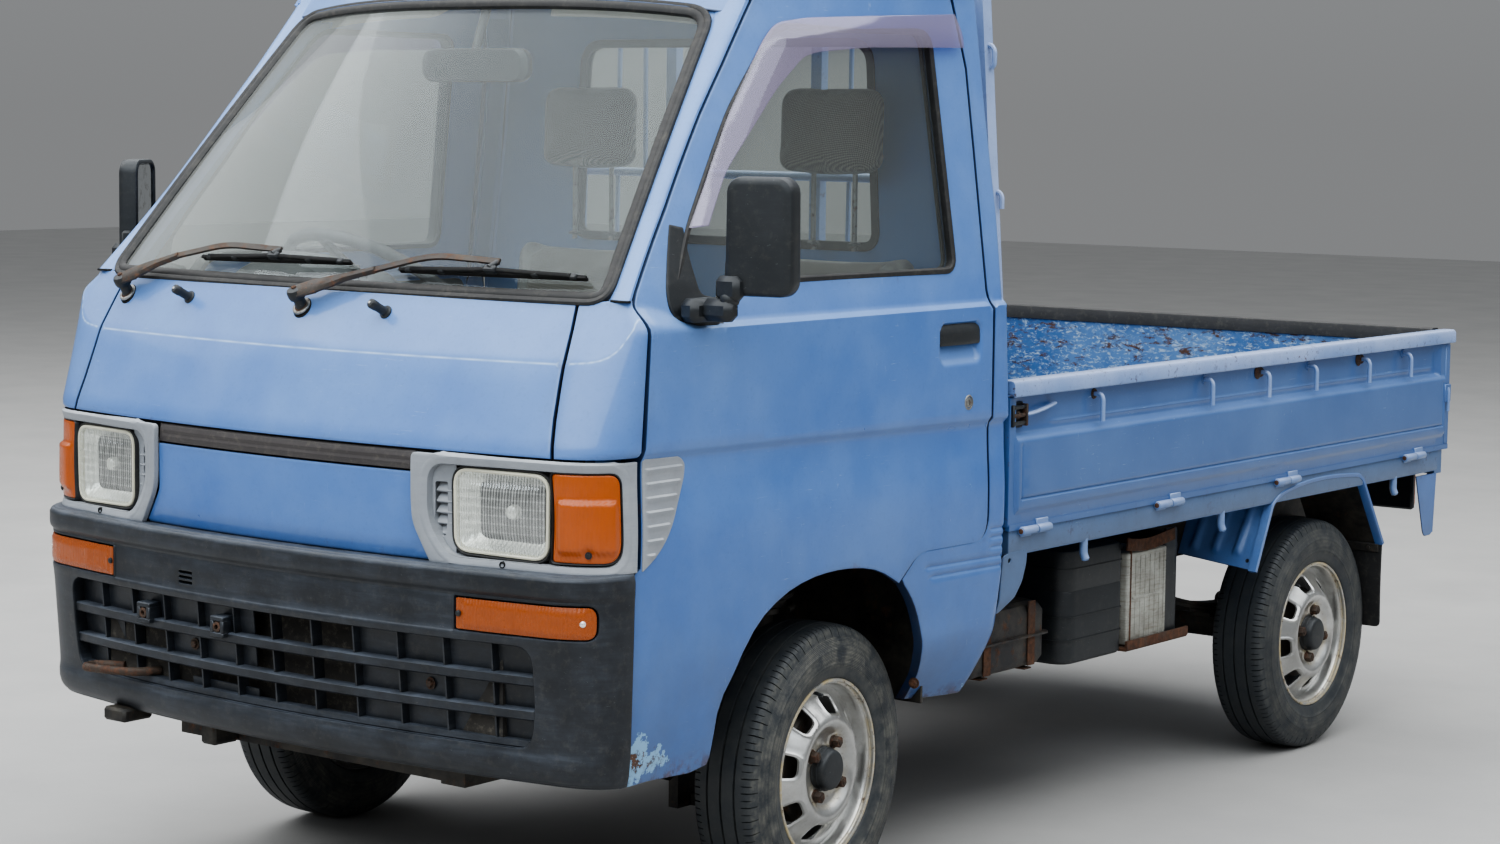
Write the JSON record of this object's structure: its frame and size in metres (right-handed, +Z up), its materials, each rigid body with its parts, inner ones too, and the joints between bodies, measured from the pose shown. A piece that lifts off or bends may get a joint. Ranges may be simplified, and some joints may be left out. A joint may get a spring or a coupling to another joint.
{
  "type": "kei truck",
  "caption": "Small cab-over pick-up truck with a drop-side bed, opening doors and gates, steered front wheels and rolling wheels.",
  "frame": {"origin": "on the ground under the middle of the vehicle's length and width", "axes": "+X to the vehicle's left, +Y to the rear (the cab looks along -Y), +Z up"},
  "size_m": [1.728, 3.2949, 1.78],
  "materials": {
    "body_paint": "faded gloss",
    "bed_paint": "scratched gloss",
    "chassis_black": "dull",
    "cast_grey": "rough",
    "glass": "clear",
    "grey_plastic": "weathered",
    "black_plastic": "weathered",
    "amber": "lens",
    "lamp_clear": "ribbed lens",
    "red_lens": "lens",
    "trim_plastic": "grained",
    "seat_cloth": "woven",
    "wheel_steel": "silver, rust-stained",
    "tyre": "worn",
    "rubber": "matt",
    "battery_case": "dusty",
    "tank_steel": "dull"
  },
  "bodies": {
    "chassis": {"amber_lamps": "amber", "battery": "battery_case", "battery_box": "black_plastic", "bed_floor": "bed_paint", "bed_sills": "body_paint", "bumper": "black_plastic", "cab_back_wall": "body_paint", "cab_floor": "chassis_black", "cab_glass": "glass", "cab_quarter_panels": "body_paint", "cab_roof": "body_paint", "dashboard": "trim_plastic", "engine": "cast_grey", "exhaust": "cast_grey", "frame_crossmembers": "chassis_black", "frame_rails": "chassis_black", "front_panel": "body_paint", "front_suspension": "chassis_black", "front_wheelhouses": "chassis_black", "fuel_tank": "tank_steel", "gate_hinges": "body_paint", "gearbox_and_shaft": "cast_grey", "headboard_guard": "body_paint", "headlamps": "lamp_clear", "headrests": "seat_cloth", "lamp_surrounds": "grey_plastic", "leaf_springs": "chassis_black", "mudflaps": "rubber", "rear_axle": "chassis_black", "rear_lamps": "red_lens", "rear_wing_plates": "body_paint", "seat_backs": "seat_cloth", "seat_cushions": "seat_cloth", "seat_platform": "body_paint", "steering_column": "trim_plastic", "windscreen_pillars": "body_paint"},
    "left_door": {"door_left": "body_paint", "door_glass_left": "glass", "mirror_left": "black_plastic"},
    "right_door": {"door_right": "body_paint", "door_glass_right": "glass", "mirror_right": "black_plastic"},
    "left_gate": {"gate_left": "body_paint"},
    "right_gate": {"gate_right": "body_paint"},
    "rear_gate": {"tailgate": "body_paint"},
    "left_knuckle": {"knuckle_left": "cast_grey"},
    "right_knuckle": {"knuckle_right": "cast_grey"},
    "front_left_wheel": {"rim_front_left": "wheel_steel", "tyre_front_left": "tyre"},
    "front_right_wheel": {"rim_front_right": "wheel_steel", "tyre_front_right": "tyre"},
    "rear_left_wheel": {"rim_rear_left": "wheel_steel", "tyre_rear_left": "tyre"},
    "rear_right_wheel": {"rim_rear_right": "wheel_steel", "tyre_rear_right": "tyre"},
    "hand_wheel": {"steering_wheel": "trim_plastic"}
  },
  "joints": [
    {"name": "steer_left", "type": "hinge", "parent": "chassis", "child": "left_knuckle", "pos_m": [0.562, -0.8725, 0.18], "axis": [-0.1399, 0, 0.9902], "range_deg": [-37, 27]},
    {"name": "steer_right", "type": "hinge", "parent": "chassis", "child": "right_knuckle", "pos_m": [-0.562, -0.8725, 0.18], "axis": [0.1399, 0, 0.9902], "range_deg": [-37, 27]},
    {"name": "spin_front_left", "type": "hinge", "parent": "left_knuckle", "child": "front_left_wheel", "pos_m": [0.59981, -0.86818, 0.26497], "axis": [0.9963, 0.0863, -0.0005], "continuous": true},
    {"name": "spin_front_right", "type": "hinge", "parent": "right_knuckle", "child": "front_right_wheel", "pos_m": [-0.59981, -0.87682, 0.26497], "axis": [0.9963, 0.0863, 0.0005], "continuous": true},
    {"name": "spin_rear_left", "type": "hinge", "parent": "chassis", "child": "rear_left_wheel", "pos_m": [0.6, 1.0275, 0.265], "axis": [1, 0, 0], "continuous": true},
    {"name": "spin_rear_right", "type": "hinge", "parent": "chassis", "child": "rear_right_wheel", "pos_m": [-0.6, 1.0275, 0.265], "axis": [1, 0, 0], "continuous": true},
    {"name": "door_left_hinge", "type": "hinge", "parent": "chassis", "child": "left_door", "pos_m": [0.676, -1.4175, 0.7], "axis": [0, 0, -1], "range_deg": [0, 65]},
    {"name": "door_right_hinge", "type": "hinge", "parent": "chassis", "child": "right_door", "pos_m": [-0.676, -1.4175, 0.7], "axis": [0, 0, 1], "range_deg": [0, 65]},
    {"name": "gate_left_hinge", "type": "hinge", "parent": "chassis", "child": "left_gate", "pos_m": [0.69, 0.6495, 0.645], "axis": [0, 1, 0], "range_deg": [0, 175]},
    {"name": "gate_right_hinge", "type": "hinge", "parent": "chassis", "child": "right_gate", "pos_m": [-0.69, 0.6495, 0.645], "axis": [0, -1, 0], "range_deg": [0, 175]},
    {"name": "tailgate_hinge", "type": "hinge", "parent": "chassis", "child": "rear_gate", "pos_m": [0, 1.6415, 0.645], "axis": [-1, 0, 0], "range_deg": [0, 175]},
    {"name": "steering_wheel_turn", "type": "hinge", "parent": "chassis", "child": "hand_wheel", "pos_m": [-0.29, -1.0725, 1.106], "axis": [0, 0.5739, 0.8189], "range_deg": [-600, 440]}
  ],
  "couplings": [
    {"joint": "steer_right", "follows": "steer_left", "ratio": 1},
    {"joint": "steering_wheel_turn", "follows": "steer_left", "ratio": 16}
  ]
}
